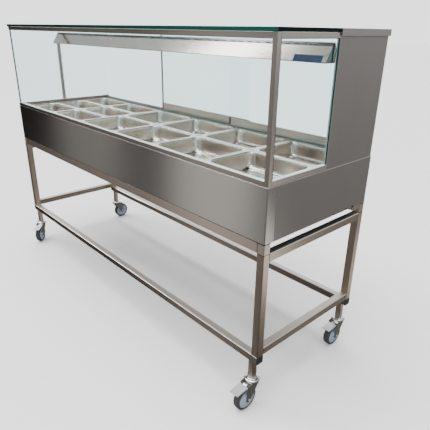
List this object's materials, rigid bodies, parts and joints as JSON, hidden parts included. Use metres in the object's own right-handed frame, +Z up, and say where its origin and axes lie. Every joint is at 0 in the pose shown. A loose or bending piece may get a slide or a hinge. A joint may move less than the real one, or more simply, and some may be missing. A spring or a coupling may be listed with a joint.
{
  "type": "heated buffet display cart",
  "caption": "Stainless heated buffet bar on braked casters: pans in a heated well under a glass canopy with a lamp hood, rear sliding glass doors and a service column at one end",
  "frame": {"origin": "on the floor under the middle of the cart's bounding box", "axes": "+X along the length towards the service column, -Y towards the customers' glass, +Y towards the server's doors, +Z up"},
  "size_m": [2.026, 0.77, 1.349],
  "materials": {
    "skin_steel": "brushed stainless sheet, vertical grain",
    "stand_steel": "satin stainless square tube",
    "frame_steel": "satin stainless, finer grain",
    "pan_steel": "bright pressed stainless",
    "element_steel": "heat-darkened steel sheath",
    "zinc_steel": "bright zinc plate",
    "pedal_steel": "zinc plate with a fine ribbed tread",
    "track_aluminium": "mill-finish extrusion",
    "clear_glass": "clear float glass with green edges",
    "quartz": "quartz tube",
    "black_plastic": "black moulded plastic",
    "wheel_plastic": "blue-grey moulded nylon",
    "tyre_rubber": "dark grey rubber"
  },
  "bodies": {
    "cart": {"legs": "stand_steel", "upper_rails": "stand_steel", "lower_rails": "stand_steel", "rail_end_plugs": "black_plastic", "caster_stubs": "stand_steel", "caster_heads": "zinc_steel", "front_panel": "skin_steel", "end_panels": "skin_steel", "rear_panel": "skin_steel", "base_pan": "skin_steel", "well_deck": "skin_steel", "pan_bars": "pan_steel", "heating_elements": "element_steel", "glass_frame": "frame_steel", "front_glass": "clear_glass", "end_glass": "clear_glass", "top_glass": "clear_glass", "service_column": "skin_steel", "top_cover": "skin_steel", "heat_hood": "frame_steel", "quartz_lamps": "quartz", "door_tracks": "track_aluminium"},
    "swivel_fr": {"caster_fork_fr": "zinc_steel"},
    "wheel_fr": {"wheel_centre_fr": "wheel_plastic", "tyre_fr": "tyre_rubber"},
    "pedal_fr": {"brake_pedal_fr": "pedal_steel"},
    "swivel_br": {"caster_fork_br": "zinc_steel"},
    "wheel_br": {"wheel_centre_br": "wheel_plastic", "tyre_br": "tyre_rubber"},
    "pedal_br": {"brake_pedal_br": "pedal_steel"},
    "swivel_bl": {"caster_fork_bl": "zinc_steel"},
    "wheel_bl": {"wheel_centre_bl": "wheel_plastic", "tyre_bl": "tyre_rubber"},
    "pedal_bl": {"brake_pedal_bl": "pedal_steel"},
    "swivel_fl": {"caster_fork_fl": "zinc_steel"},
    "wheel_fl": {"wheel_centre_fl": "wheel_plastic", "tyre_fl": "tyre_rubber"},
    "pedal_fl": {"brake_pedal_fl": "pedal_steel"},
    "pan_1_front": {"pan_1_front": "pan_steel"},
    "pan_1_middle": {"pan_1_middle": "pan_steel"},
    "pan_1_rear": {"pan_1_rear": "pan_steel"},
    "pan_2_front": {"pan_2_front": "pan_steel"},
    "pan_2_middle": {"pan_2_middle": "pan_steel"},
    "pan_2_rear": {"pan_2_rear": "pan_steel"},
    "pan_3_front": {"pan_3_front": "pan_steel"},
    "pan_3_rear": {"pan_3_rear": "pan_steel"},
    "pan_4_front": {"pan_4_front": "pan_steel"},
    "pan_4_rear": {"pan_4_rear": "pan_steel"},
    "pan_5_front": {"pan_5_front": "pan_steel"},
    "pan_5_rear": {"pan_5_rear": "pan_steel"},
    "pan_6_front": {"pan_6_front": "pan_steel"},
    "pan_6_rear": {"pan_6_rear": "pan_steel"},
    "door_left": {"door_rail_left": "frame_steel", "door_glass_left": "clear_glass"},
    "door_middle": {"door_rail_middle": "frame_steel", "door_glass_middle": "clear_glass"},
    "door_right": {"door_rail_right": "frame_steel", "door_glass_right": "clear_glass"},
    "thermostat_knob": {"thermostat_knob": "black_plastic"},
    "lamp_knob": {"lamp_knob": "black_plastic"}
  },
  "joints": [
    {"name": "swivel_fr", "type": "hinge", "parent": "cart", "child": "swivel_fr", "pos_m": [0.976, -0.289, 0.118], "axis": [0, 0, 1], "continuous": true},
    {"name": "wheel_fr", "type": "hinge", "parent": "swivel_fr", "child": "wheel_fr", "pos_m": [0.976, -0.325, 0.05], "axis": [1, 0, 0], "continuous": true},
    {"name": "brake_fr", "type": "hinge", "parent": "swivel_fr", "child": "pedal_fr", "pos_m": [0.976, -0.32, 0.105], "axis": [1, 0, 0], "range_deg": [0, 9]},
    {"name": "swivel_br", "type": "hinge", "parent": "cart", "child": "swivel_br", "pos_m": [0.976, 0.289, 0.118], "axis": [0, 0, 1], "continuous": true},
    {"name": "wheel_br", "type": "hinge", "parent": "swivel_br", "child": "wheel_br", "pos_m": [0.976, 0.253, 0.05], "axis": [1, 0, 0], "continuous": true},
    {"name": "brake_br", "type": "hinge", "parent": "swivel_br", "child": "pedal_br", "pos_m": [0.976, 0.258, 0.105], "axis": [1, 0, 0], "range_deg": [0, 9]},
    {"name": "swivel_bl", "type": "hinge", "parent": "cart", "child": "swivel_bl", "pos_m": [-0.976, 0.289, 0.118], "axis": [0, 0, 1], "continuous": true},
    {"name": "wheel_bl", "type": "hinge", "parent": "swivel_bl", "child": "wheel_bl", "pos_m": [-0.976, 0.325, 0.05], "axis": [-1, 0, 0], "continuous": true},
    {"name": "brake_bl", "type": "hinge", "parent": "swivel_bl", "child": "pedal_bl", "pos_m": [-0.976, 0.32, 0.105], "axis": [-1, 0, 0], "range_deg": [0, 9]},
    {"name": "swivel_fl", "type": "hinge", "parent": "cart", "child": "swivel_fl", "pos_m": [-0.976, -0.289, 0.118], "axis": [0, 0, 1], "continuous": true},
    {"name": "wheel_fl", "type": "hinge", "parent": "swivel_fl", "child": "wheel_fl", "pos_m": [-0.95054, -0.31446, 0.05], "axis": [0.7071, 0.7071, 0], "continuous": true},
    {"name": "brake_fl", "type": "hinge", "parent": "swivel_fl", "child": "pedal_fl", "pos_m": [-0.95408, -0.31092, 0.105], "axis": [0.7071, 0.7071, 0], "range_deg": [0, 9]},
    {"name": "lift_pan_1_front", "type": "slide", "parent": "cart", "child": "pan_1_front", "axis": [0, 0, 1], "range_m": [0, 0.12]},
    {"name": "lift_pan_1_middle", "type": "slide", "parent": "cart", "child": "pan_1_middle", "axis": [0, 0, 1], "range_m": [0, 0.12]},
    {"name": "lift_pan_1_rear", "type": "slide", "parent": "cart", "child": "pan_1_rear", "axis": [0, 0, 1], "range_m": [0, 0.12]},
    {"name": "lift_pan_2_front", "type": "slide", "parent": "cart", "child": "pan_2_front", "axis": [0, 0, 1], "range_m": [0, 0.12]},
    {"name": "lift_pan_2_middle", "type": "slide", "parent": "cart", "child": "pan_2_middle", "axis": [0, 0, 1], "range_m": [0, 0.12]},
    {"name": "lift_pan_2_rear", "type": "slide", "parent": "cart", "child": "pan_2_rear", "axis": [0, 0, 1], "range_m": [0, 0.12]},
    {"name": "lift_pan_3_front", "type": "slide", "parent": "cart", "child": "pan_3_front", "axis": [0, 0, 1], "range_m": [0, 0.12]},
    {"name": "lift_pan_3_rear", "type": "slide", "parent": "cart", "child": "pan_3_rear", "axis": [0, 0, 1], "range_m": [0, 0.12]},
    {"name": "lift_pan_4_front", "type": "slide", "parent": "cart", "child": "pan_4_front", "axis": [0, 0, 1], "range_m": [0, 0.12]},
    {"name": "lift_pan_4_rear", "type": "slide", "parent": "cart", "child": "pan_4_rear", "axis": [0, 0, 1], "range_m": [0, 0.12]},
    {"name": "lift_pan_5_front", "type": "slide", "parent": "cart", "child": "pan_5_front", "axis": [0, 0, 1], "range_m": [0, 0.12]},
    {"name": "lift_pan_5_rear", "type": "slide", "parent": "cart", "child": "pan_5_rear", "axis": [0, 0, 1], "range_m": [0, 0.12]},
    {"name": "lift_pan_6_front", "type": "slide", "parent": "cart", "child": "pan_6_front", "axis": [0, 0, 1], "range_m": [0, 0.12]},
    {"name": "lift_pan_6_rear", "type": "slide", "parent": "cart", "child": "pan_6_rear", "axis": [0, 0, 1], "range_m": [0, 0.12]},
    {"name": "door_left_slide", "type": "slide", "parent": "cart", "child": "door_left", "axis": [1, 0, 0], "range_m": [-0.662, 0.57]},
    {"name": "door_middle_slide", "type": "slide", "parent": "cart", "child": "door_middle", "axis": [1, 0, 0], "range_m": [-0.654, 0.578]},
    {"name": "door_right_slide", "type": "slide", "parent": "cart", "child": "door_right", "axis": [1, 0, 0], "range_m": [-1.233, 0]},
    {"name": "thermostat_knob_turn", "type": "hinge", "parent": "cart", "child": "thermostat_knob", "pos_m": [0.6262, 0.305, 0.78475], "axis": [0, -1, 0], "range_deg": [0, 270]},
    {"name": "lamp_knob_turn", "type": "hinge", "parent": "cart", "child": "lamp_knob", "pos_m": [0.5252, 0.305, 0.78475], "axis": [0, -1, 0], "range_deg": [0, 90]}
  ]
}
